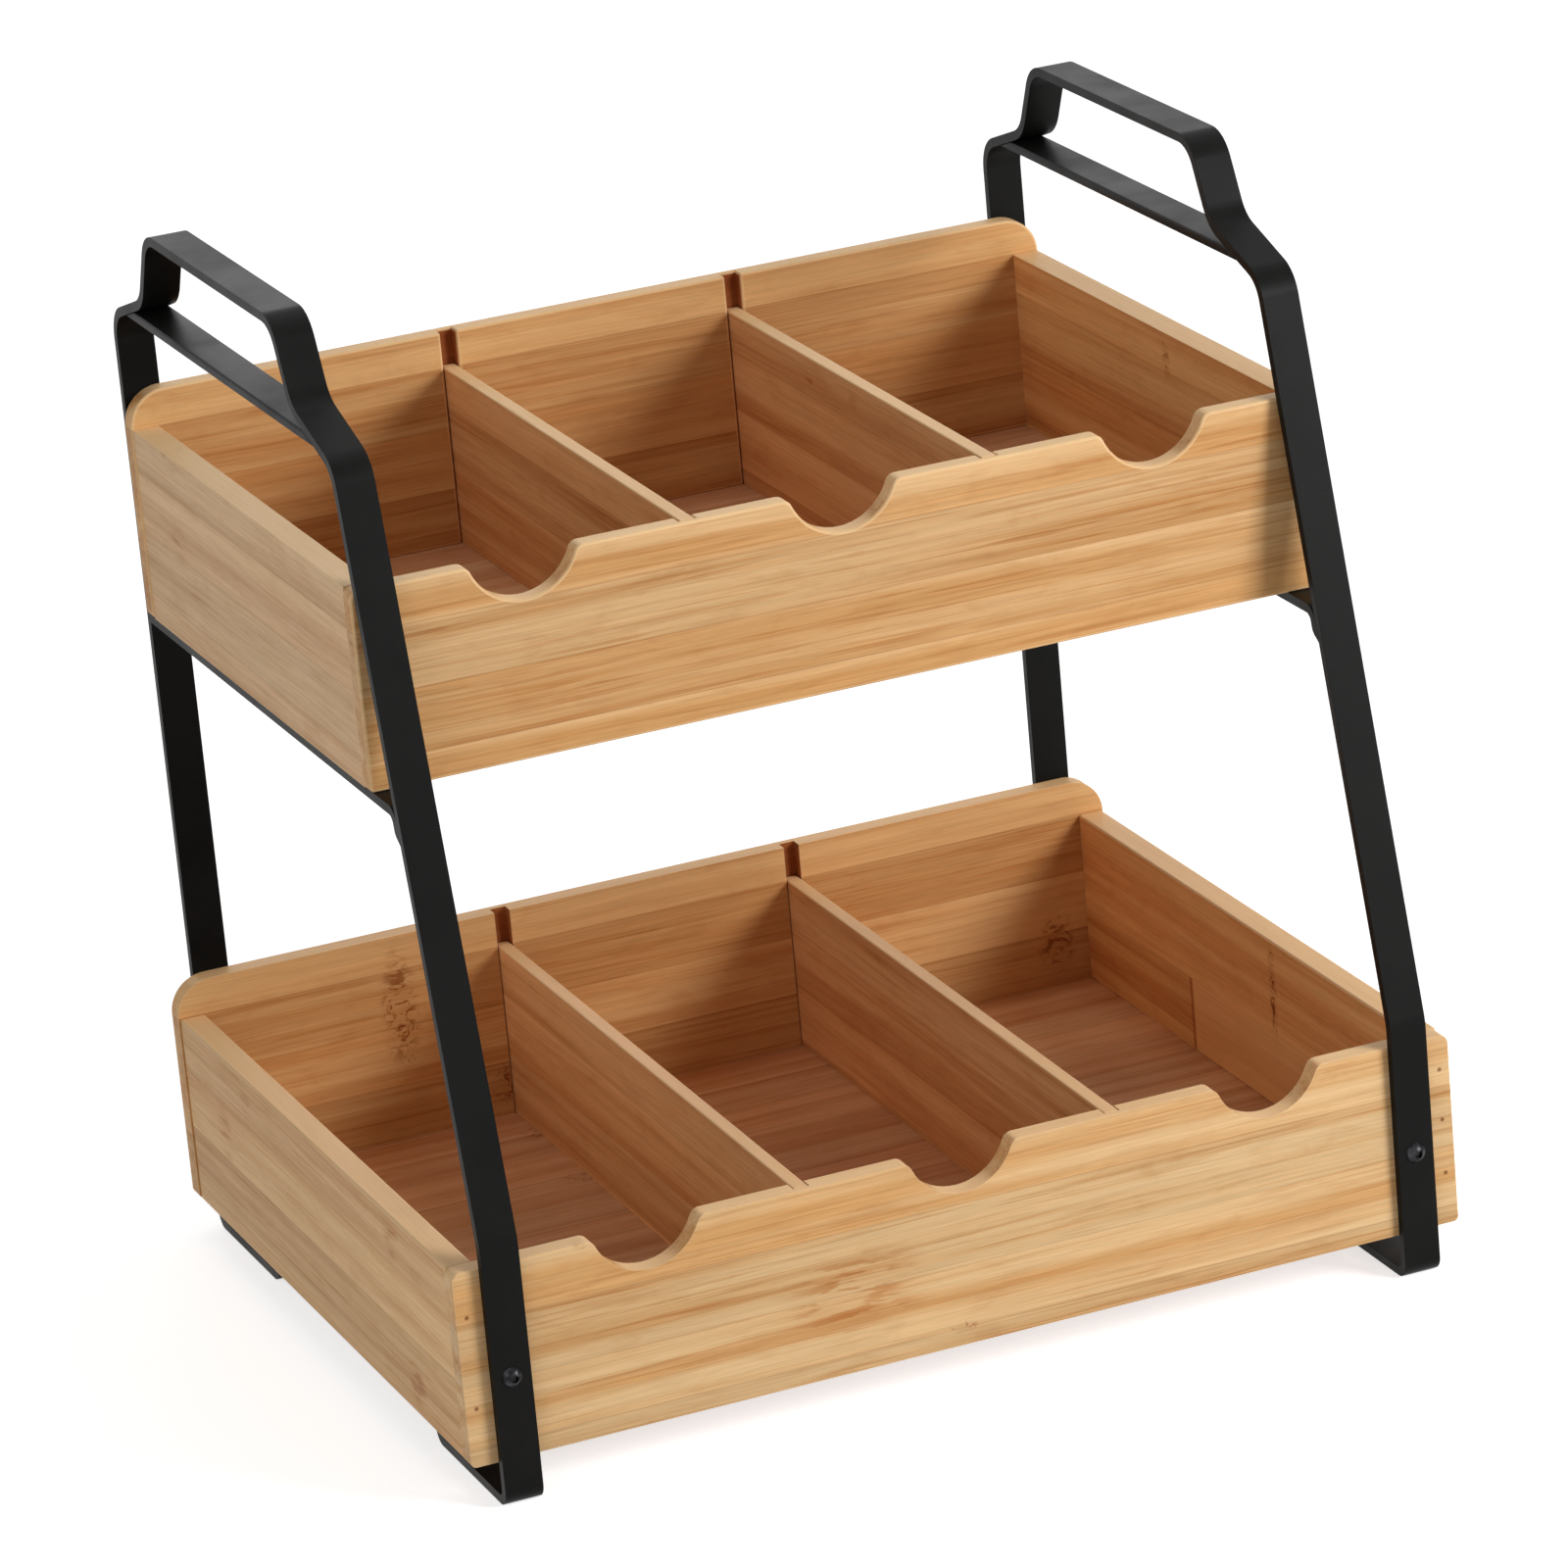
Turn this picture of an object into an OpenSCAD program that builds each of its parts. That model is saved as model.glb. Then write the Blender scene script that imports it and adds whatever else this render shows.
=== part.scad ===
// Two-tier counter organizer. Two wooden trays, each with three compartments, hang between
// two side frames bent from flat steel bar. The frames carry a handle at each end.
// X runs along the trays, Y from front to back, Z up. The origin is on the surface that the
// feet stand on, under the middle of the footprint.

/* [Trays] */
// Width of the lower tray
lower_w = 345; // [330:1:380]
// Depth of the lower tray
tray_d = 268; // [255:1:290]
// How far each end of the upper tray stands in from the lower tray's end
upper_inset = 8; // [7:0.5:10]
// Height of the lower tray's underside above the surface
lower_z = 15; // [12:0.5:20]
// Height of the upper tray's underside above the surface
upper_z = 221.3; // [205:0.1:235]
// Gap between the leaning legs and the upper tray's front top edge
upper_gap = 0.6; // [0.4:0.1:3]

/* [Boards] */
// Height of the front panels, the ends and the dividers
front_h = 65.4; // [58:0.1:68]
// How far the back panels stand above the ends
back_rise = 12.4; // [8:0.1:20]
// Thickness of the front and back panels
panel_t = 7; // [6:0.5:10]
// Thickness of the end boards
end_t = 9; // [7:0.5:11]
// How far the end boards stand in from the panels' ends
end_recess = 0.5; // [0:0.1:2]
// Thickness of the floor boards
floor_t = 4; // [3:0.5:6]
// How far the floor boards are let into the boards around them
floor_lap = 3; // [2:0.5:4]
// Radius of the front panels' top corners
front_corner_r = 3.2; // [2:0.1:9]
// Radius of all the panels' bottom corners
low_corner_r = 1.8; // [1:0.1:4]

/* [Dividers] */
// Thickness of the dividers
divider_t = 4.9; // [4:0.1:8]
// Distance from the middle to each divider of the lower tray
lower_divider_x = 53.9; // [45:0.1:62]
// Distance from the middle to each divider of the upper tray
upper_divider_x = 51.5; // [45:0.1:60]
// Wood left behind each divider groove
groove_web = 2.5; // [2:0.1:4]
// Clearance around a divider in its grooves
groove_gap = 0.3; // [0.3:0.05:0.6]

/* [Finger scoops] */
// Distance between two finger scoops
scoop_pitch = 107.5; // [100:0.5:112]
// Width of a finger scoop at the panel's top edge
scoop_w = 41; // [34:1:46]
// Depth of a finger scoop
scoop_h = 13.7; // [10:0.1:15]
// Radius of the round shoulders where a finger scoop meets the top edge
scoop_shoulder_r = 3.6; // [2:0.1:7]

/* [Side frames] */
// Width of the steel bar
strip_w = 12.7; // [10:0.1:14]
// Thickness of the steel bar
strip_t = 3.2; // [2:0.1:4]
// How far the steel bar stands in from the lower tray's end
strip_inset = 9; // [8:0.5:11]
// Height of the handles
top_z = 362; // [355:1:385]
// Length of a handle between its outer corners
handle_l = 123; // [105:1:130]
// Length between the two necks under a handle
neck_l = 147.6; // [142:0.2:160]
// Height of the necks
neck_z = 336.8; // [333:0.1:342]
// Length between the two shoulder corners
shoulder_l = 214.4; // [200:0.2:222]
// Height of the shoulder corners
shoulder_z = 325.5; // [320:0.1:328]
// Height of the grip rail's top face
grip_z = 330.4; // [329:0.1:331]
// Height at which the front legs start to lean
lean_z = 88; // [86:1:110]
// Length of each foot on the surface
foot_l = 60; // [40:1:90]
// Slope of the rise between a foot and the base bar, in degrees
foot_slope = 60; // [40:1:75]
// Length of the lip that ties a shelf rail to its front leg
lip_l = 10.5; // [9:0.1:16]
// Length of the taper on the lip's end
lip_taper = 3.5; // [2:0.1:5]

/* [Bend radii] */
// Radius of the bends at the feet, along the middle of the bar
foot_bend_r = 4; // [3:0.1:6]
// Radius of the bend where a front leg starts to lean
lean_bend_r = 20; // [5:1:40]
// Radius of the shoulder bends
shoulder_bend_r = 12; // [8:0.5:14]
// Radius of the neck bends
neck_bend_r = 14; // [8:0.5:16]
// Radius of the handle's corner bends
handle_bend_r = 12; // [8:0.5:14]
// Radius of the bend at a shelf rail's lip
lip_bend_r = 4.5; // [3:0.1:6]
// Radius that softens the start of the lip's taper
lip_end_r = 4; // [1:0.5:5]

/* [Screws] */
// Diameter of the screws
screw_d = 4; // [3:0.1:4.5]
// Diameter of the screw heads
head_d = 7; // [6.5:0.1:8]
// Height of the screw heads
head_h = 2.2; // [1.8:0.1:2.6]
// Width of the hex socket across its flats
socket_w = 2.5; // [2:0.1:3]
// Height of the screws that hold the lower tray
screw_z = 43.5; // [35:0.5:60]
// Length of the shelf screws inside the upper tray's ends
shelf_bite = 14; // [8:1:25]
// Distance from the upper tray's front and back faces to the shelf screws
shelf_screw_in = 35; // [25:1:50]

/* [Hidden] */
$fn = 96;

wood_color = [0.84, 0.66, 0.44];
inner_wood_color = [0.72, 0.52, 0.32];
steel_color = [0.12, 0.12, 0.12];
screw_color = [0.35, 0.35, 0.36];

// How far a cut runs past the face that it leaves
over = 1;
// How far a bend's circle passes its sides, so that the two cross instead of only touching
crossing = 0.01;
// Clearance of a screw in the steel bar and in its pilot hole, on the diameter
bar_hole_gap = 0.4;
pilot_gap = 0.1;
// Wood left in front of the point of a lower screw
screw_web = 1.5;
// Depth of a hex socket as a share of the head's height
socket_share = 0.6;

// The bowl of a finger scoop touches both shoulders and is scoop_h deep
scoop_r = (scoop_w * scoop_w / 4 + scoop_h * scoop_h) / (2 * scoop_h) - scoop_shoulder_r;
tray_screw_l = strip_t + panel_t - screw_web;

back_h = front_h + back_rise;
// The back panels' top corners start level with the ends' top edge
back_corner_r = back_rise;
upper_w = lower_w - 2 * upper_inset;
back_y = tray_d / 2;
leg_y = back_y + strip_t;
strip_out_x = lower_w / 2 - strip_inset;
strip_x = strip_out_x - strip_w / 2;
strip_in_x = strip_out_x - strip_w;

// The handle is symmetric about this place on Y
handle_y = leg_y - shoulder_l / 2;
lean = atan((leg_y + handle_y - shoulder_l / 2) / (shoulder_z - lean_z));
shoulder_slope = (neck_z - shoulder_z) / (shoulder_l - neck_l) * 2;
foot_rise = lower_z - strip_t;
kink_y = leg_y - foot_l;
base_y = kink_y - foot_rise / tan(foot_slope);

// The band's outer corners, from the front foot backwards and round over the handle
band_points = [[-leg_y, 0], [-kink_y, 0], [-base_y, foot_rise], [base_y, foot_rise],
    [kink_y, 0], [leg_y, 0], [leg_y, shoulder_z],
    [handle_y + neck_l / 2, neck_z], [handle_y + handle_l / 2, top_z],
    [handle_y - handle_l / 2, top_z], [handle_y - neck_l / 2, neck_z],
    [handle_y - shoulder_l / 2, shoulder_z], [-leg_y, lean_z]];
band_bends = [foot_bend_r, foot_bend_r, foot_bend_r, foot_bend_r,
    foot_bend_r, foot_bend_r, shoulder_bend_r,
    neck_bend_r, handle_bend_r, handle_bend_r, neck_bend_r, shoulder_bend_r, lean_bend_r];

// Where the inner face of the leaning front leg is at a given height
function leg_inner_y(z) = -leg_y + (z - lean_z) * tan(lean) + strip_t / cos(lean);
// Where the front shoulder's inner face is as high as z
function shoulder_inner_y(z) = handle_y - shoulder_l / 2
    + (z - shoulder_z + strip_t * sqrt(1 + shoulder_slope * shoulder_slope)) / shoulder_slope;

upper_front_y = leg_inner_y(upper_z + front_h) + upper_gap;

// The shelf rail's route along the middle of the bar: rear end, corner at the leg, lip's end
rail_z = upper_z - strip_t / 2;
rail_corner_y = leg_inner_y(rail_z) + strip_t / 2 / cos(lean);
lip_end = [rail_corner_y - lip_l * sin(lean), rail_z - lip_l * cos(lean)];

// The shelf screws go through the middle of the wood that lies over the bar
upper_end_out_x = upper_w / 2 - end_recess;
upper_end_in_x = upper_end_out_x - end_t;
shelf_screw_x = (max(strip_in_x, upper_end_in_x) + min(strip_out_x, upper_end_out_x)) / 2;
shelf_screw_front_y = upper_front_y + shelf_screw_in;
shelf_screw_rear_y = back_y - shelf_screw_in;

function unit(v) = v / norm(v);
function turned(v) = [v[1], -v[0]];
function cross_of(a, b) = a[0] * b[1] - a[1] * b[0];
function side_in(p, i) = unit(p[i] - p[(i + len(p) - 1) % len(p)]);
function side_out(p, i) = unit(p[(i + 1) % len(p)] - p[i]);
// The direction from corner i to its bend's middle, long enough for a bend of radius 1
function reach(p, i) =
    (turned(side_in(p, i)) + turned(side_out(p, i))) / (1 + side_in(p, i) * side_out(p, i));
function turn_sign(p, i) = sign(cross_of(side_in(p, i), side_out(p, i)));
function inset(p, d) = [for (i = [0 : len(p) - 1]) p[i] - d * reach(p, i)];

// The middle of the bend of radius r at corner i
function bend_center(p, i, r) = p[i] - r * turn_sign(p, i) * reach(p, i);
function bend_start(p, i, r) = bend_center(p, i, r) + r * turn_sign(p, i) * turned(side_in(p, i));
function bend_end(p, i, r) = bend_center(p, i, r) + r * turn_sign(p, i) * turned(side_out(p, i));
function is_hollow(p, i) = turn_sign(p, i) < 0;

// What lies between an outward corner and the round bend inside it
module corner_waste(p, i, r) {
    start_normal = turned(side_in(p, i));
    end_normal = turned(side_out(p, i));
    difference() {
        translate(bend_center(p, i, r))
            polygon([[0, 0], start_normal * r, start_normal * (r + over), reach(p, i) * (r + over),
                end_normal * (r + over), end_normal * r]);
        translate(bend_center(p, i, r)) circle(r + crossing);
    }
}

// An outline of anticlockwise corners p, each rounded by its own radius, where 0 is sharp
module rounded_outline(p, radii) {
    corners = [0 : len(p) - 1];
    difference() {
        polygon([for (i = corners)
            each radii[i] > 0 && is_hollow(p, i)
                ? [bend_start(p, i, radii[i]), bend_center(p, i, radii[i]), bend_end(p, i, radii[i])]
                : [p[i]]]);
        for (i = corners) if (radii[i] > 0) {
            if (is_hollow(p, i))
                translate(bend_center(p, i, radii[i])) circle(radii[i] + crossing);
            else corner_waste(p, i, radii[i]);
        }
    }
}

// Stands a side view, drawn with Y along and Z up, at x_from and makes it width wide
module side_view(x_from, width) {
    translate([x_from, 0, 0])
        rotate([90, 0, 90])
            linear_extrude(width) children();
}

// Stands a front view, drawn with X along and Z up, at y_from and makes it depth deep
module front_view(y_from, depth) {
    translate([0, y_from + depth, 0])
        rotate([90, 0, 0])
            linear_extrude(depth) children();
}

// Shifts what is drawn for the right end to the left end when side is -1
module at_side(side) {
    if (side < 0) mirror([1, 0, 0]) children();
    else children();
}

module y_hole(x, z, y_from, y_to, d) {
    translate([x, y_from, z])
        rotate([-90, 0, 0])
            cylinder(d = d, h = y_to - y_from);
}

module band_outline(depth) {
    rounded_outline(inset(band_points, depth),
        [for (i = [0 : len(band_points) - 1])
            band_bends[i] + turn_sign(band_points, i) * (strip_t / 2 - depth)]);
}

module side_band(side) {
    color(steel_color)
        at_side(side)
            difference() {
                side_view(strip_in_x, strip_w)
                    difference() {
                        band_outline(0);
                        band_outline(strip_t);
                    }
                y_hole(strip_x, screw_z, -leg_y - over, -back_y + over, screw_d + bar_hole_gap);
                y_hole(strip_x, screw_z, back_y - over, leg_y + over, screw_d + bar_hole_gap);
            }
}

// A flat bar whose ends are cut to fit under both shoulders
module grip_rail(side) {
    top_end = shoulder_inner_y(grip_z);
    low_end = shoulder_inner_y(grip_z - strip_t);
    color(steel_color)
        at_side(side)
            side_view(strip_in_x, strip_w)
                polygon([[low_end, grip_z - strip_t], [2 * handle_y - low_end, grip_z - strip_t],
                    [2 * handle_y - top_end, grip_z], [top_end, grip_z]]);
}

module shelf_rail(side) {
    half = strip_t / 2;
    lip_across = half * [cos(lean), -sin(lean)];
    taper_start = lip_end + lip_across + lip_taper * [sin(lean), cos(lean)];
    corner = [rail_corner_y, rail_z];
    reach_in = half * [tan((90 - lean) / 2), -1];
    color(steel_color)
        at_side(side)
            difference() {
                side_view(strip_in_x, strip_w)
                    rounded_outline([lip_end - lip_across, taper_start,
                        corner + reach_in, [back_y, rail_z - half],
                        [back_y, rail_z + half], corner - reach_in],
                        [0, lip_end_r, lip_bend_r - half, 0, 0, lip_bend_r + half]);
                for (y = [shelf_screw_front_y, shelf_screw_rear_y])
                    translate([shelf_screw_x, y, upper_z - strip_t - over])
                        cylinder(d = screw_d + bar_hole_gap, h = strip_t + 2 * over);
            }
}

// A floor board, let into the rabbets of the four boards around it
module floor_board(tray_w, front_y, z) {
    half_w = tray_w / 2 - end_recess - end_t + floor_lap;
    y_from = front_y + panel_t - floor_lap;
    color(inner_wood_color)
        translate([-half_w, y_from, z])
            cube([2 * half_w, back_y - panel_t + floor_lap - y_from, floor_t]);
}

module panel_outline(tray_w, height, top_r) {
    rounded_outline([[-tray_w / 2, 0], [tray_w / 2, 0], [tray_w / 2, height], [-tray_w / 2, height]],
        [low_corner_r, low_corner_r, top_r, top_r]);
}

// The grooves and the floor's rabbet in a panel whose inner face is at y_inner
module panel_cuts(tray_w, divider_x, z, y_inner, inward) {
    depth = panel_t - groove_web;
    groove_w = divider_t + 2 * groove_gap;
    groove_y = inward > 0 ? y_inner - depth : y_inner - over;
    rabbet_y = inward > 0 ? y_inner - floor_lap : y_inner - over;
    half_w = tray_w / 2 - end_recess - end_t + floor_lap;
    for (side = [-1, 1])
        translate([side * divider_x - groove_w / 2, groove_y, z + floor_t])
            cube([groove_w, depth + over, back_h + over]);
    translate([-half_w, rabbet_y, z - over])
        cube([2 * half_w, floor_lap + over, floor_t + over]);
}

// A finger scoop, whose bowl runs into the panel's top edge over two round shoulders
module scoop() {
    half_w = scoop_w / 2;
    bowl_z = scoop_r - scoop_h;
    translate([0, bowl_z]) circle(scoop_r + crossing);
    difference() {
        polygon([[-half_w, -scoop_shoulder_r], [0, bowl_z], [half_w, -scoop_shoulder_r],
            [half_w, scoop_r], [-half_w, scoop_r]]);
        for (side = [-1, 1])
            translate([side * half_w, -scoop_shoulder_r]) circle(scoop_shoulder_r + crossing);
    }
}

module front_panel(tray_w, divider_x, front_y, z) {
    difference() {
        translate([0, 0, z])
            front_view(front_y, panel_t)
                difference() {
                    panel_outline(tray_w, front_h, front_corner_r);
                    for (place = [-1 : 1])
                        translate([place * scoop_pitch, front_h]) scoop();
                }
        panel_cuts(tray_w, divider_x, z, front_y + panel_t, 1);
    }
}

module back_panel(tray_w, divider_x, z) {
    difference() {
        translate([0, 0, z])
            front_view(back_y - panel_t, panel_t)
                panel_outline(tray_w, back_h, back_corner_r);
        panel_cuts(tray_w, divider_x, z, back_y - panel_t, -1);
    }
}

module end_board(side, tray_w, front_y, z) {
    out_x = tray_w / 2 - end_recess;
    y_from = front_y + panel_t;
    y_to = back_y - panel_t;
    at_side(side)
        difference() {
            translate([out_x - end_t, y_from, z])
                cube([end_t, y_to - y_from, front_h]);
            translate([out_x - end_t - over, y_from - over, z - over])
                cube([floor_lap + over, y_to - y_from + 2 * over, floor_t + over]);
        }
}

module divider(side, divider_x, front_y, z) {
    reach_out = panel_t - groove_web - groove_gap;
    y_from = front_y + panel_t - reach_out;
    y_to = back_y - panel_t + reach_out;
    color(inner_wood_color)
        translate([side * divider_x - divider_t / 2, y_from, z + floor_t])
            cube([divider_t, y_to - y_from, front_h - floor_t]);
}

// A button head on the origin with its shank along -Z
module screw(shank_l) {
    dome_r = (head_d * head_d / 4 + head_h * head_h) / (2 * head_h);
    socket_h = head_h * socket_share;
    color(screw_color) {
        difference() {
            intersection() {
                translate([0, 0, head_h - dome_r]) sphere(dome_r);
                cylinder(d = head_d, h = head_h);
            }
            translate([0, 0, head_h - socket_h])
                cylinder(d = socket_w / cos(30), h = socket_h + over, $fn = 6);
        }
        translate([0, 0, -shank_l]) cylinder(d = screw_d, h = shank_l);
    }
}

module front_screw(side) {
    translate([side * strip_x, -leg_y, screw_z])
        rotate([90, 0, 0]) screw(tray_screw_l);
}

module rear_screw(side) {
    translate([side * strip_x, leg_y, screw_z])
        rotate([-90, 0, 0]) screw(tray_screw_l);
}

module shelf_screw(side, y) {
    translate([side * shelf_screw_x, y, upper_z - strip_t])
        rotate([180, 0, 0]) screw(strip_t + shelf_bite);
}

// The pilot holes of the two screws through a lower panel
module tray_pilots(y_from, y_to) {
    for (side = [-1, 1])
        y_hole(side * strip_x, screw_z, y_from, y_to, screw_d + pilot_gap);
}

// The pilot holes of the four shelf screws, up into the upper tray
module shelf_pilots() {
    for (side = [-1, 1], y = [shelf_screw_front_y, shelf_screw_rear_y])
        translate([side * shelf_screw_x, y, upper_z - over])
            cylinder(d = screw_d + pilot_gap, h = shelf_bite + over);
}

module upper_end(side) {
    color(wood_color)
        difference() {
            end_board(side, upper_w, upper_front_y, upper_z);
            shelf_pilots();
        }
}

module left_side_band() { side_band(-1); }
module right_side_band() { side_band(1); }
module left_grip_rail() { grip_rail(-1); }
module right_grip_rail() { grip_rail(1); }
module left_shelf_rail() { shelf_rail(-1); }
module right_shelf_rail() { shelf_rail(1); }

module lower_floor() { floor_board(lower_w, -back_y, lower_z); }

module lower_front_panel() {
    color(wood_color)
        difference() {
            front_panel(lower_w, lower_divider_x, -back_y, lower_z);
            tray_pilots(-back_y - over, -back_y + panel_t - screw_web);
        }
}

module lower_back_panel() {
    color(wood_color)
        difference() {
            back_panel(lower_w, lower_divider_x, lower_z);
            tray_pilots(back_y - panel_t + screw_web, back_y + over);
        }
}

module lower_left_end() { color(wood_color) end_board(-1, lower_w, -back_y, lower_z); }
module lower_right_end() { color(wood_color) end_board(1, lower_w, -back_y, lower_z); }
module lower_left_divider() { divider(-1, lower_divider_x, -back_y, lower_z); }
module lower_right_divider() { divider(1, lower_divider_x, -back_y, lower_z); }

// The shelf screws' holes graze its ends
module upper_floor() {
    color(inner_wood_color)
        difference() {
            floor_board(upper_w, upper_front_y, upper_z);
            shelf_pilots();
        }
}

module upper_front_panel() {
    color(wood_color) front_panel(upper_w, upper_divider_x, upper_front_y, upper_z);
}

module upper_back_panel() { color(wood_color) back_panel(upper_w, upper_divider_x, upper_z); }
module upper_left_end() { upper_end(-1); }
module upper_right_end() { upper_end(1); }
module upper_left_divider() { divider(-1, upper_divider_x, upper_front_y, upper_z); }
module upper_right_divider() { divider(1, upper_divider_x, upper_front_y, upper_z); }

module front_left_screw() { front_screw(-1); }
module front_right_screw() { front_screw(1); }
module rear_left_screw() { rear_screw(-1); }
module rear_right_screw() { rear_screw(1); }
module shelf_front_left_screw() { shelf_screw(-1, shelf_screw_front_y); }
module shelf_front_right_screw() { shelf_screw(1, shelf_screw_front_y); }
module shelf_rear_left_screw() { shelf_screw(-1, shelf_screw_rear_y); }
module shelf_rear_right_screw() { shelf_screw(1, shelf_screw_rear_y); }

left_side_band();
right_side_band();
left_grip_rail();
right_grip_rail();
left_shelf_rail();
right_shelf_rail();
lower_floor();
lower_front_panel();
lower_back_panel();
lower_left_end();
lower_right_end();
lower_left_divider();
lower_right_divider();
upper_floor();
upper_front_panel();
upper_back_panel();
upper_left_end();
upper_right_end();
upper_left_divider();
upper_right_divider();
front_left_screw();
front_right_screw();
rear_left_screw();
rear_right_screw();
shelf_front_left_screw();
shelf_front_right_screw();
shelf_rear_left_screw();
shelf_rear_right_screw();
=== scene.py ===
"""Coffee station organizer: two bamboo trays with lift-out dividers on a black steel stand."""

import math

import bmesh
import bpy
from mathutils import Matrix


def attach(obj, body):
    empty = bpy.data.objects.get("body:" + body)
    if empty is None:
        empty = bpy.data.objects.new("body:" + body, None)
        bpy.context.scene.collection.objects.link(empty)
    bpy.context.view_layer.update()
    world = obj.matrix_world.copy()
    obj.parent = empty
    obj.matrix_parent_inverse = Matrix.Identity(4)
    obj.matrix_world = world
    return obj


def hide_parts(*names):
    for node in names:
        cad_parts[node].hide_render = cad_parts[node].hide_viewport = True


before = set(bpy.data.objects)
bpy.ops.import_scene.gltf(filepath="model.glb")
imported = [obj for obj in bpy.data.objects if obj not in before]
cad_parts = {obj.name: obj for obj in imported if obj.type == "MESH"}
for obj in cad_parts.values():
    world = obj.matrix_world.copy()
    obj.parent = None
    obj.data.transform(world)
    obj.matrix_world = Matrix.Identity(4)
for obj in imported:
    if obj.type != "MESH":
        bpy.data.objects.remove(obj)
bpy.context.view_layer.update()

MM = 0.001

# The photograph's camera: where it stands in metres, its turn, downward tilt and roll in
# degrees, and its lens, in pixels of the 1600 pixel wide photograph.
CAMERA_PLACE = (-0.86407, -2.22832, 1.00385)
CAMERA_TURN = -21.282
CAMERA_TILT = 19.358
CAMERA_ROLL = -5.222
LENS_PIXELS = 7912.7
PHOTO_PIXELS = 1600
SENSOR_MM = 36

# Joinery.
BOARD_EDGE = 0.9 * MM     # radius that the sanding leaves on a board's edges
DIVIDER_EDGE = 0.5 * MM   # the same on the thin dividers
STEEL_EDGE = 0.7 * MM     # rounded edge of the rolled strip, under the powder coat
SHARP_TURN = math.radians(30)
WELD = 0.01 * MM
FLAT = math.radians(0.4)
# The rounded faces are marked so that the material paints a highlight on them.
EDGE_MARK = "painted_highlight_edge"   # the faces that the sanding rounded

AMBIENT = 0.15              # the even light from all around
TABLE_GLOW = 0.68           # what the camera sees the table shine by itself

# How the grain lies: the turn that brings a board's length to X and its width to Y.
LIES = {
    "across": (math.radians(90), 0, 0),                  # panels, whose length is the tray's
    "deep": (math.radians(90), math.radians(90), 0),     # ends and dividers, front to back
    "flat": (0, 0, 0),                                   # floors
}


def paint(red, green, blue):
    """A colour of the photograph, 0 to 255, as the linear values that a shader takes."""
    return tuple(((c / 255 + 0.055) / 1.055) ** 2.4 for c in (red, green, blue)) + (1,)


class Finish:
    """A material under way: each call adds one node and returns its output."""

    def __init__(self, name):
        self.material = bpy.data.materials.new(name)
        self.material.use_nodes = True
        self.tree = self.material.node_tree
        self.shader = self.tree.nodes["Principled BSDF"]

    def node(self, kind, label, sockets, output=0, **settings):
        made = self.tree.nodes.new("ShaderNode" + kind)
        made.label = label
        for setting, value in settings.items():
            setattr(made, setting, value)
        for socket, value in sockets.items():
            if isinstance(value, bpy.types.NodeSocket):
                self.tree.links.new(value, made.inputs[socket])
            else:
                made.inputs[socket].default_value = value
        return made.outputs[output]

    def sum(self, operation, a, b=0.0, label="", c=0.0):
        return self.node("Math", label, {0: a, 1: b, 2: c}, operation=operation)

    def moved(self, operation, a, b, label=""):
        return self.node("VectorMath", label, {0: a, 1: b}, operation=operation)

    def noise(self, label, vector, scale, detail=2.0, rough=0.5, bend=0.0, output=0):
        sockets = {"Vector": vector, "Scale": scale, "Detail": detail, "Roughness": rough, "Distortion": bend}
        return self.node("TexNoise", label, sockets, output)

    def between(self, value, low, high, label="", to=(0.0, 1.0)):
        sockets = {"Value": value, "From Min": low, "From Max": high, "To Min": to[0], "To Max": to[1]}
        return self.node("MapRange", label, sockets, interpolation_type="SMOOTHSTEP")

    def mix(self, factor, a, b, label="", blend="MIX"):
        sockets = {0: factor, 6: a, 7: b}
        return self.node("Mix", label, sockets, 2, data_type="RGBA", blend_type=blend)

    def coat(self, color, roughness, height, depth, strength=1.0):
        """Hands colour, roughness and a bump of the given depth to the shader."""
        bump = self.node("Bump", "surface", {"Height": height, "Distance": depth, "Strength": strength})
        self.tree.links.new(color, self.shader.inputs["Base Color"])
        self.tree.links.new(roughness, self.shader.inputs["Roughness"])
        self.tree.links.new(bump, self.shader.inputs["Normal"])
        return self.material


STRIP = 21                             # width of one bamboo strip in most boards, mm
SEAM = 0.25 * MM                       # half a glue line between strips
TONE_STEP = 0.38                       # from one strip's tone to the next one's, of a full turn
FRONT_STREAKS = 0.9                    # how dark the streaks are on the front panels
INNER_STREAKS = 0.6                    # and on all the other boards
GROOVE_HALF = (2.95 * MM, 2.35 * MM)   # half a divider groove, across and into the panel

# A knuckle's marks: the sizes of their noise, how much that curls, and their tint.
CURLS = (150.0, 200.0, 200.0), 2.2, (0.46, 0.28, 0.17, 1.0)
DASHES = (48.0, 380.0, 380.0), 0.25, (0.74, 0.52, 0.34, 1.0)
STITCHES = (210.0, 260.0, 260.0), 1.2, (0.34, 0.19, 0.12, 1.0)


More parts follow.
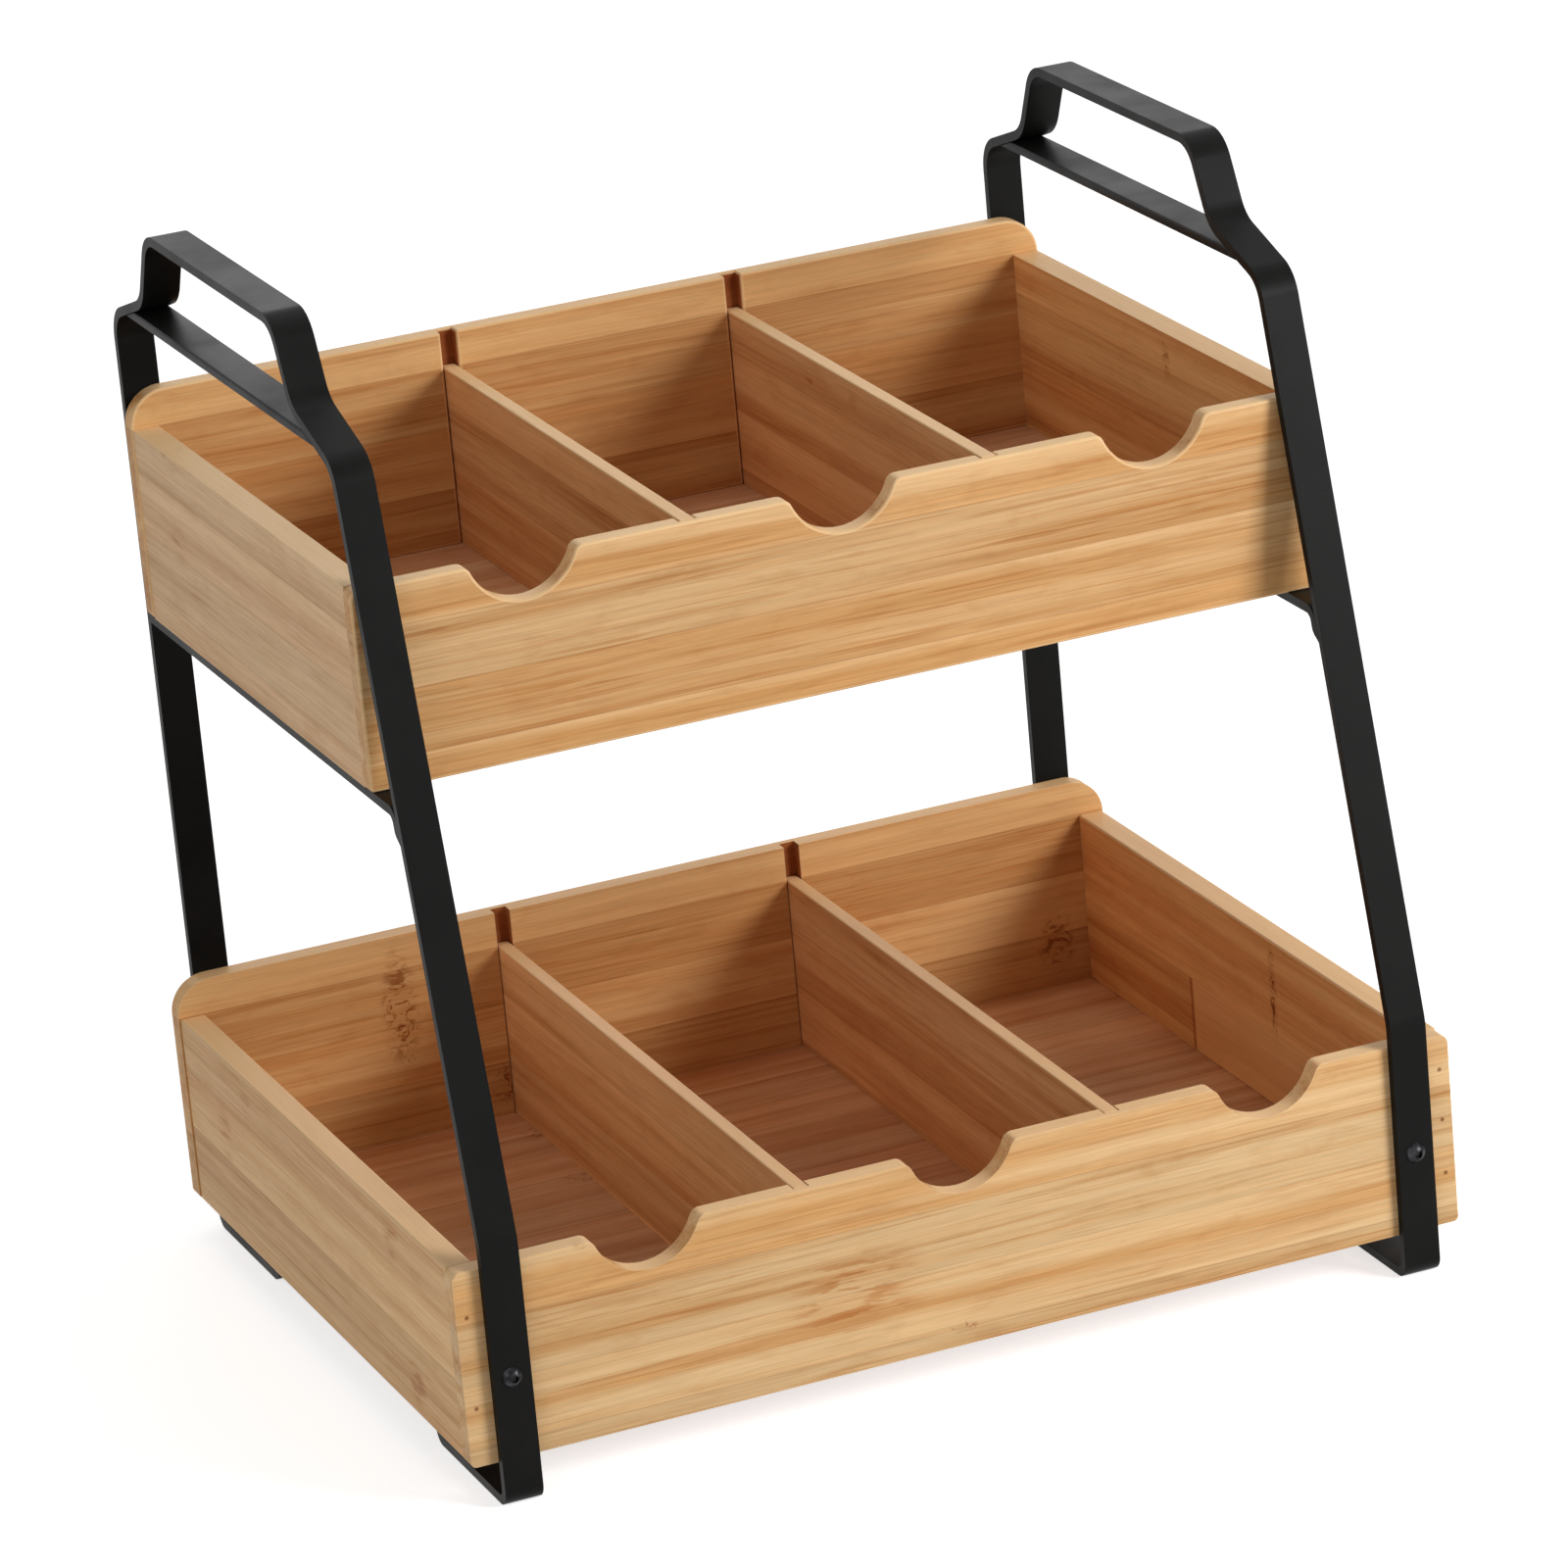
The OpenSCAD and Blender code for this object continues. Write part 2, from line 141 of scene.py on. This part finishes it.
class Board(Finish):
    """Laminated bamboo under a satin lacquer, laid as LIES says.

    All places on the board are (along, across) in millimetres, as the grain runs.
    """

    def __init__(self, name, lie, seed, pale, deep, streaky=1.0, strip=STRIP, start=0.0):
        super().__init__(name)
        self.place = self.node("TexCoord", "place on the product", {}, "Object")
        turned = {"Vector": self.place, "Rotation": LIES[lie]}
        self.board = self.node("Mapping", "turned to the board", turned)
        self.along = self.node("SeparateXYZ", "along the grain", {"Vector": self.board}, 0)
        self.across = self.node("SeparateXYZ", "across the grain", {"Vector": self.board}, 1)
        self.own = self.lay_strips(seed, strip, start)
        self.color = self.grow(pale, deep, streaky)

    def tint(self, mask, color, label, blend="MULTIPLY"):
        self.color = self.mix(mask, self.color, color, label, blend)

    def shade(self, factor, label):
        self.color = self.node("VectorMath", label, {0: self.color, "Scale": factor}, operation="SCALE")

    def lay_strips(self, seed, strip, start):
        """Strips side by side, each from another culm. Returns where a point lies in its culm."""
        culm = self.node("Mapping", "this board's own culm", {"Vector": self.board, "Location": seed})
        begun = self.sum("ADD", self.across, start * MM)
        count = self.sum("DIVIDE", begun, strip * MM, "strips from the first")
        turn = self.sum("MULTIPLY_ADD", self.sum("FLOOR", count), TONE_STEP, "tone steps", seed[2])
        self.strip_tone = self.sum("FRACT", turn, 0.0, "tone of the strip")
        width = strip * MM
        from_seam = self.sum("PINGPONG", self.sum("MULTIPLY", count, width), 0.5 * width, "from a seam")
        self.seam = self.between(from_seam, 0.0, 2 * SEAM, "glue line", (0.3, 0.0))
        slip = self.node("CombineXYZ", "slid along", {"X": self.strip_tone, "Y": 0.0, "Z": self.strip_tone})
        return self.moved("ADD", culm, slip, "place in the culm")

    def run(self, along, across):
        """The culm stretched along its fibres: features per metre, along and across."""
        return self.moved("MULTIPLY", self.lying, (along, across, across))

    def grow(self, pale, deep, streaky):
        """Bands, streaks, fibres and mottle, on each strip's own ground."""
        slow = self.moved("MULTIPLY", self.own, (5.0, 20.0, 20.0))
        drift = self.noise("wander", slow, 1.0, 1.0, output=1)
        centred = self.moved("SUBTRACT", drift, (0.5, 0.5, 0.5))
        self.lying = self.moved("ADD", self.own, self.moved("MULTIPLY", centred, (0.0, 0.004, 0.004)))
        bands = self.noise("bands", self.run(2.2, 85.0), 1.0, 2.0, 0.55)
        streaks = self.noise("streaks", self.run(9.0, 400.0), 1.0, 3.0, 0.6)
        lines = self.noise("fine lines", self.run(13.0, 820.0), 1.0, 2.0, 0.6)
        self.fibres = self.noise("fibres", self.run(30.0, 1300.0), 1.0, 3.0, 0.7)
        patches = self.noise("patches", self.run(45.0, 130.0), 1.0, 3.0, 0.65, 0.5)

        self.color = self.mix(self.between(bands, 0.36, 0.66), pale, deep, "ground")
        self.shade(self.between(self.strip_tone, 0.0, 1.0, "strip shade", (0.91, 1.06)), "strips")
        streak = self.between(streaks, 0.5, 0.66, "streak")
        more = self.between(bands, 0.3, 0.62, "more of them in the deep bands", (0.3, 1.0))
        reach = (1.1 * streaky, 0.5 * streaky)
        deeper = self.between(self.strip_tone, 0.0, 1.0, "and in the deep strips", reach)
        more = self.sum("MULTIPLY", more, deeper)
        self.tint(self.sum("MULTIPLY", streak, more), (0.84, 0.71, 0.56, 1.0), "streaks")
        line = self.between(lines, 0.54, 0.63, "fine line")
        self.tint(self.sum("MULTIPLY", line, more), (0.8, 0.64, 0.48, 1.0), "fine lines")
        self.shade(self.between(streaks, 0.26, 0.46, "pale fibres", (1.06, 1.0)), "pale fibres")
        self.shade(self.between(self.fibres, 0.3, 0.7, "fibre shade", (1.05, 0.9)), "fibres")
        patch = self.between(patches, 0.48, 0.74, "patch", (0.0, 0.5))
        self.tint(patch, (0.86, 0.76, 0.66, 1.0), "patches")
        self.tint(self.seam, (0.6, 0.42, 0.3, 1.0), "glue lines")
        return self.color

    def knuckle(self, along, across, half_length, half_width, strength, marks):
        """A ring of the culm: a darker patch full of marks."""
        grid, curl, tint = marks
        centre = (along * MM, across * MM, 0.0)
        shape = (1 / (half_length * MM), 1 / (half_width * MM), 0.0)
        near = self.moved("MULTIPLY", self.moved("SUBTRACT", self.board, centre), shape)
        reach = self.node("VectorMath", "from the knuckle", {0: near}, "Value", operation="LENGTH")
        ring = self.between(reach, 0.3, 1.0, "knuckle", (strength, 0.0))
        marked = self.noise("marks", self.moved("MULTIPLY", self.own, grid), 1.0, 3.0, 0.6, curl)
        mark = self.between(marked, 0.49, 0.6, "mark", (0.16, 1.0))
        self.tint(self.sum("MULTIPLY", ring, mark), tint, "knuckle")

    def brad(self, along, across):
        """A filled brad hole: a small brown speck."""
        aside = self.moved("SUBTRACT", self.board, (along * MM, across * MM, 0.0))
        flat = self.moved("MULTIPLY", aside, (1.0, 1.0, 0.0))
        reach = self.node("VectorMath", "from the brad", {0: flat}, "Value", operation="LENGTH")
        self.tint(self.between(reach, 0.4 * MM, 1.0 * MM, "brad", (0.85, 0.0)), (0.3, 0.16, 0.1, 1.0), "brad")

    def end_joint(self, along, low, high):
        """Where one strip, between low and high, is made up of two pieces end to end."""
        above = self.sum("GREATER_THAN", self.across, low * MM)
        here = self.sum("MULTIPLY", above, self.sum("LESS_THAN", self.across, high * MM), "in this strip")
        before = self.sum("LESS_THAN", self.along, along * MM)
        beyond = self.sum("MULTIPLY", self.sum("MULTIPLY", here, before), 0.55)
        self.tint(beyond, OTHER_PIECE, "the other piece", "MIX")
        gap = self.sum("ABSOLUTE", self.sum("SUBTRACT", self.along, along * MM))
        line = self.between(gap, 0.4 * MM, 1.7 * MM, "end joint", (0.85, 0.0))
        self.tint(self.sum("MULTIPLY", here, line), (0.5, 0.3, 0.2, 1.0), "end joint")

    def groove(self, x, y):
        """A divider groove, darkened as painted shade in the recess; x and y are the product's."""
        away = self.moved("SUBTRACT", self.place, (x * MM, y * MM, 0.0))
        apart = self.node("VectorMath", "from the groove's middle", {0: away}, operation="ABSOLUTE")
        in_x = self.sum("LESS_THAN", self.node("SeparateXYZ", "", {"Vector": apart}, 0), GROOVE_HALF[0])
        in_y = self.sum("LESS_THAN", self.node("SeparateXYZ", "", {"Vector": apart}, 1), GROOVE_HALF[1])
        # Painted shade: the groove's footprint is darkened.
        self.tint(self.sum("MULTIPLY", in_x, in_y, "inside"), (0.5, 0.27, 0.18, 1.0), "painted groove shade")

    def lacquered(self, painted_top_light_strength=0.7):
        """Upward faces get a painted top light, the rounded edges a painted highlight, and a satin coat lies
        over it all.
        """
        painted_highlight = self.node("Attribute", "sanded edge", {}, 2, attribute_name=EDGE_MARK)
        up = self.node("SeparateXYZ", "up", {"Vector": self.node("TexCoord", "", {}, "Normal")}, 2)
        # Painted top light: upward faces are mixed towards a pale tone.
        self.tint(self.between(up, 0.8, 0.95, "top edge", (0.0, painted_top_light_strength)), TOP_LIGHT_PAINT, "painted top light", "MIX")
        # Painted highlight: the rounded edges are mixed towards a pale tone.
        self.tint(self.sum("MULTIPLY", painted_highlight, 0.5), EDGE_HIGHLIGHT_PAINT, "painted edge highlight", "MIX")
        gloss = self.between(self.fibres, 0.3, 0.8, "lacquer over the fibres", (0.44, 0.6))
        self.shader.inputs["Specular IOR Level"].default_value = 0.15
        return self.coat(self.color, gloss, self.fibres, 0.08 * MM)


def powder_coat(name):
    """Satin black powder coat on steel: a fine orange peel, rubbed lighter here and there."""
    finish = Finish(name)
    place = finish.node("TexCoord", "place on the product", {}, "Object")
    peel = finish.noise("orange peel", place, 1400.0, 2.0, 0.6)
    rub = finish.noise("handling", place, 38.0, 3.0, 0.55)
    color = finish.mix(finish.between(rub, 0.35, 0.8), paint(11, 11, 10), paint(17, 17, 16), "coat")
    gloss = finish.between(rub, 0.3, 0.75, "gloss", (0.4, 0.5))
    finish.shader.inputs["Specular IOR Level"].default_value = 0.09
    return finish.coat(color, gloss, peel, 0.03 * MM)


def black_oxide(name):
    """Black oxide on the screws, brighter where the tool has turned."""
    finish = Finish(name)
    place = finish.node("TexCoord", "place on the product", {}, "Object")
    grit = finish.noise("grit", place, 2600.0, 2.0, 0.6)
    tint = finish.noise("oxide", place, 420.0, 3.0, 0.6)
    color = finish.mix(finish.between(tint, 0.4, 0.7), paint(26, 26, 28), paint(62, 62, 66), "oxide")
    gloss = finish.between(tint, 0.3, 0.7, "gloss", (0.25, 0.4))
    finish.shader.inputs["Metallic"].default_value = 0.85
    return finish.coat(color, gloss, grit, 0.01 * MM)


def merged_copy(node):
    """A CAD node's triangles as one closed mesh with its flat faces whole again."""
    mesh = bmesh.new()
    mesh.from_mesh(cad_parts[node].data)
    bmesh.ops.remove_doubles(mesh, verts=mesh.verts, dist=WELD)
    bmesh.ops.dissolve_limit(mesh, angle_limit=FLAT, verts=mesh.verts, edges=mesh.edges)
    return mesh


def soften_edges(mesh, radius, segments):
    """Rounds every outward edge that is sharper than SHARP_TURN, and marks what it rounds."""
    mark = mesh.faces.layers.float.new(EDGE_MARK)
    sharp = [e for e in mesh.edges if e.is_manifold and e.is_convex and e.calc_face_angle() > SHARP_TURN]
    rounded = bmesh.ops.bevel(mesh, geom=sharp, offset=radius, segments=segments, profile=0.5,
                              affect="EDGES", material=-1, clamp_overlap=True)
    for face in rounded["faces"]:
        face[mark] = 1


def shade_smooth(mesh):
    """Smooth faces with crisp inner corners."""
    for face in mesh.faces:
        face.smooth = True
    for edge in mesh.edges:
        edge.smooth = not edge.is_manifold or edge.calc_face_angle() < SHARP_TURN


def dress(node, body, finish, radius=0.0, segments=3):
    """Replaces a CAD node with a copy whose edges are rounded, in its finish."""
    mesh = merged_copy(node)
    if radius:
        soften_edges(mesh, radius, segments)
    shade_smooth(mesh)
    data = bpy.data.meshes.new(node + "_dressed")
    mesh.to_mesh(data)
    mesh.free()
    piece = bpy.data.objects.new(node + "_dressed", data)
    bpy.context.scene.collection.objects.link(piece)
    data.materials.append(finish)
    even = piece.modifiers.new("even_normals", "WEIGHTED_NORMAL")
    even.keep_sharp = True
    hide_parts(node)
    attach(piece, body)
    return piece


# Each board's pale and deep bamboo, as the photograph's boards differ.
# Pale tone painted on upward faces as painted top light.
TOP_LIGHT_PAINT = paint(253, 212, 158)
# Pale tone of the painted highlight on the rounded edges.
EDGE_HIGHLIGHT_PAINT = paint(246, 210, 160)
OTHER_PIECE = paint(246, 196, 138)
LOWER_FRONT = paint(227, 191, 142), paint(211, 161, 104)
UPPER_FRONT = paint(223, 181, 130), paint(205, 154, 98)
BACK = paint(223, 177, 120), paint(204, 148, 91)
LEFT_END = paint(236, 195, 140), paint(218, 169, 114)
UPPER_LEFT_END = paint(231, 192, 145), paint(212, 168, 122)
RIGHT_END = paint(231, 180, 120), paint(212, 150, 92)
DIVIDER = paint(226, 173, 120), paint(205, 145, 92)
FLOOR = paint(230, 186, 144), paint(212, 158, 116)


def panel(node, tones, seed, streaky, knuckles=(), brads=(), grooves=(), start=0.0):
    """A tray's front or back panel, its grain across the tray. Marks are (x, z, ...)."""
    board = Board("bamboo_" + node, "across", seed, *tones, streaky, STRIP, start)
    for x, z, half_length, half_width, strength, marks in knuckles:
        board.knuckle(x, -z, half_length, half_width, strength, marks)
    for x, z in brads:
        board.brad(x, -z)
    for x, y in grooves:
        board.groove(x, y)
    dress(node, "stand", board.lacquered(), BOARD_EDGE)


def end_board(node, tones, seed, knuckles=(), strip=STRIP, start=0.0, end_joint=None):
    """A tray's end board, its grain front to back. Marks are (y, z, ...)."""
    board = Board("bamboo_" + node, "deep", seed, *tones, INNER_STREAKS, strip, start)
    for y, z, half_length, half_width, strength, marks in knuckles:
        board.knuckle(y, -z, half_length, half_width, strength, marks)
    if end_joint:
        y, low, high = end_joint
        board.end_joint(y, -high, -low)
    dress(node, "stand", board.lacquered(), BOARD_EDGE)


def floor_board(node, seed, knuckles=()):
    """A tray's floor, its grain across the tray."""
    board = Board("bamboo_" + node, "flat", seed, *FLOOR, INNER_STREAKS)
    for knuckle in knuckles:
        board.knuckle(*knuckle)
    # Floors get none of the painted top light.
    dress(node, "stand", board.lacquered(0.0), DIVIDER_EDGE)


def divider(node, seed, knuckles=()):
    """A lift-out divider, which rides on its own body. Marks are (y, z, ...)."""
    board = Board("bamboo_" + node, "deep", seed, *DIVIDER, INNER_STREAKS)
    for y, z, half_length, half_width, strength, marks in knuckles:
        board.knuckle(y, -z, half_length, half_width, strength, marks)
    dress(node, node, board.lacquered(), DIVIDER_EDGE)


def lower_tray():
    knuckles = [(-40, 42, 30, 20, 0.9, DASHES), (-4, 21, 6, 2.4, 1.0, CURLS), (-130, 80, 3, 2, 0.8, CURLS)]
    brads = [(-168.9, 65.2), (-168.9, 34.5), (168.9, 68.7), (168.9, 51.3), (168.9, 32.7)]
    panel("lower_front_panel", LOWER_FRONT, (0.31, 3.0, 0.45), FRONT_STREAKS, knuckles, brads)
    knuckles = [(-94, 66, 8.5, 27, 1.0, CURLS), (-58, 30, 8, 9, 1.0, CURLS), (151, 34, 9, 15, 1.0, CURLS)]
    grooves = [(-53.9, 129.25), (53.9, 129.25)]
    # The strip phase and start are set so that the top strip, above the end boards, is the palest, as painted
    # shade on the strips below it.
    panel("lower_back_panel", BACK, (1.72, 11.0, 0.85), INNER_STREAKS, knuckles, (), grooves, -3.6)
    knuckles = [(90, 52, 9, 15, 0.7, DASHES), (-76, 74, 9, 12, 0.9, DASHES),
                (-88, 26, 10, 12, 0.9, DASHES), (62, 69, 8, 8, 0.6, DASHES)]
    end_board("lower_left_end", LEFT_END, (2.43, 19.0, 0.93), knuckles)
    knuckles = [(-24, 63, 3.6, 24, 1.0, STITCHES)]
    end_board("lower_right_end", RIGHT_END, (3.18, 27.0, 0.31), knuckles, 34, 46, (41.5, 12, 46))
    knuckles = [(-55, 105, 12, 9, 0.7, CURLS), (-58, 60, 12, 7, 0.5, CURLS)]
    floor_board("lower_floor", (4.27, 35.0, 0.77), knuckles)
    divider("lower_left_divider", (5.39, 43.0, 0.13))
    divider("lower_right_divider", (6.61, 51.0, 0.59))


def upper_tray():
    panel("upper_front_panel", UPPER_FRONT, (7.53, 59.0, 0.07), FRONT_STREAKS)
    grooves = [(-51.5, 129.25), (51.5, 129.25)]
    panel("upper_back_panel", BACK, (8.87, 67.0, 0.65), INNER_STREAKS, (), (), grooves, -7.3)
    knuckles = [(96, 288, 5, 4, 0.7, DASHES), (90, 258, 9, 10, 0.7, DASHES)]
    end_board("upper_left_end", UPPER_LEFT_END, (9.71, 75.0, 0.83), knuckles)
    end_board("upper_right_end", RIGHT_END, (10.93, 83.0, 0.29), [(8, 277, 4, 9, 1.0, CURLS)])
    floor_board("upper_floor", (11.57, 91.0, 0.71))
    divider("upper_left_divider", (12.79, 99.0, 0.17))
    knuckles = [(60, 279, 5, 3, 0.9, DASHES), (23, 280, 5, 3, 0.9, DASHES)]
    divider("upper_right_divider", (13.37, 107.0, 0.53), knuckles)


def stand():
    coat = powder_coat("black_powder_coat")
    for side in ("left", "right"):
        for part in ("side_band", "grip_rail", "shelf_rail"):
            dress(side + "_" + part, "stand", coat, STEEL_EDGE)


def screws():
    oxide = black_oxide("black_oxide")
    for place in ("front", "rear", "shelf_front", "shelf_rear"):
        for side in ("left", "right"):
            dress(place + "_" + side + "_screw", "stand", oxide)


def camera():
    """The photograph's view, without a shift, so that the other views stay centred."""
    data = bpy.data.cameras.new("photo_camera")
    data.sensor_width = SENSOR_MM
    data.lens = LENS_PIXELS / PHOTO_PIXELS * SENSOR_MM
    data.clip_end = 100
    lens = bpy.data.objects.new("photo_camera", data)
    turn = Matrix.Rotation(math.radians(CAMERA_TURN), 4, "Z")
    tilt = Matrix.Rotation(math.radians(90 - CAMERA_TILT), 4, "X")
    roll = Matrix.Rotation(math.radians(CAMERA_ROLL), 4, "Z")
    lens.matrix_world = Matrix.Translation(CAMERA_PLACE) @ turn @ tilt @ roll
    bpy.context.scene.collection.objects.link(lens)
    bpy.context.scene.camera = lens


def seen_white(tree):
    """1 for the rays that show the background: straight, mirrored or through something."""
    path = tree.nodes.new("ShaderNodeLightPath")
    seen = path.outputs["Is Camera Ray"]
    for ray in ("Is Glossy Ray", "Is Transmission Ray"):
        either = tree.nodes.new("ShaderNodeMath")
        either.operation = "MAXIMUM"
        tree.links.new(seen, either.inputs[0])
        tree.links.new(path.outputs[ray], either.inputs[1])
        seen = either.outputs[0]
    return seen


def table_top():
    """The pale table: white to the eye, and it keeps the object's soft shadow."""
    mesh = bmesh.new()
    bmesh.ops.create_grid(mesh, x_segments=1, y_segments=1, size=30)
    data = bpy.data.meshes.new("table_top")
    mesh.to_mesh(data)
    mesh.free()
    top = bpy.data.objects.new("table_top", data)
    bpy.context.scene.collection.objects.link(top)
    finish = Finish("white_table")
    tree = finish.tree
    glow = tree.nodes.new("ShaderNodeEmission")
    glow.inputs["Color"].default_value = (1, 1, 1, 1)
    tree.links.new(finish.sum("MULTIPLY", seen_white(tree), TABLE_GLOW), glow.inputs["Strength"])
    both = tree.nodes.new("ShaderNodeAddShader")
    tree.links.new(finish.shader.outputs[0], both.inputs[0])
    tree.links.new(glow.outputs[0], both.inputs[1])
    tree.links.new(both.outputs[0], tree.nodes["Material Output"].inputs["Surface"])
    finish.shader.inputs["Base Color"].default_value = (0.82, 0.82, 0.82, 1)
    finish.shader.inputs["Roughness"].default_value = 0.9
    data.materials.append(finish.material)


def surroundings():
    """White to the eye, and a plain even light on the object."""
    world = bpy.data.worlds.new("studio")
    world.use_nodes = True
    bpy.context.scene.world = world
    tree = world.node_tree
    level = tree.nodes.new("ShaderNodeMapRange")
    level.inputs["To Min"].default_value = AMBIENT
    level.inputs["To Max"].default_value = 1
    tree.links.new(seen_white(tree), level.inputs["Value"])
    back = tree.nodes["Background"]
    back.inputs["Color"].default_value = (1, 1, 1, 1)
    tree.links.new(level.outputs[0], back.inputs["Strength"])


def soft_box(name, place, aim, size, watts, color=(1, 1, 1)):
    """A square studio lamp at place that looks at aim."""
    data = bpy.data.lights.new(name, "AREA")
    data.shape = "SQUARE"
    data.size = size
    data.energy = watts
    data.color = color
    lamp = bpy.data.objects.new(name, data)
    looks = Matrix.Translation(aim).translation - Matrix.Translation(place).translation
    lamp.matrix_world = Matrix.Translation(place) @ looks.to_track_quat("-Z", "Y").to_matrix().to_4x4()
    bpy.context.scene.collection.objects.link(lamp)


def lights():
    middle = (0, 0, 0.18)
    soft_box("key_light", (0.98, -1.2, 0.82), middle, 0.6, 20.5)
    soft_box("left_light", (-1.9, -0.9, 1.0), middle, 1.6, 12)
    soft_box("top_light", (0.1, 0.3, 2.2), middle, 1.4, 7)
    soft_box("back_card", (0.4, 2.4, 1.0), middle, 1.8, 9)


camera()
lower_tray()
upper_tray()
stand()
screws()
table_top()
surroundings()
lights()

bpy.context.scene.view_settings.view_transform = "Standard"
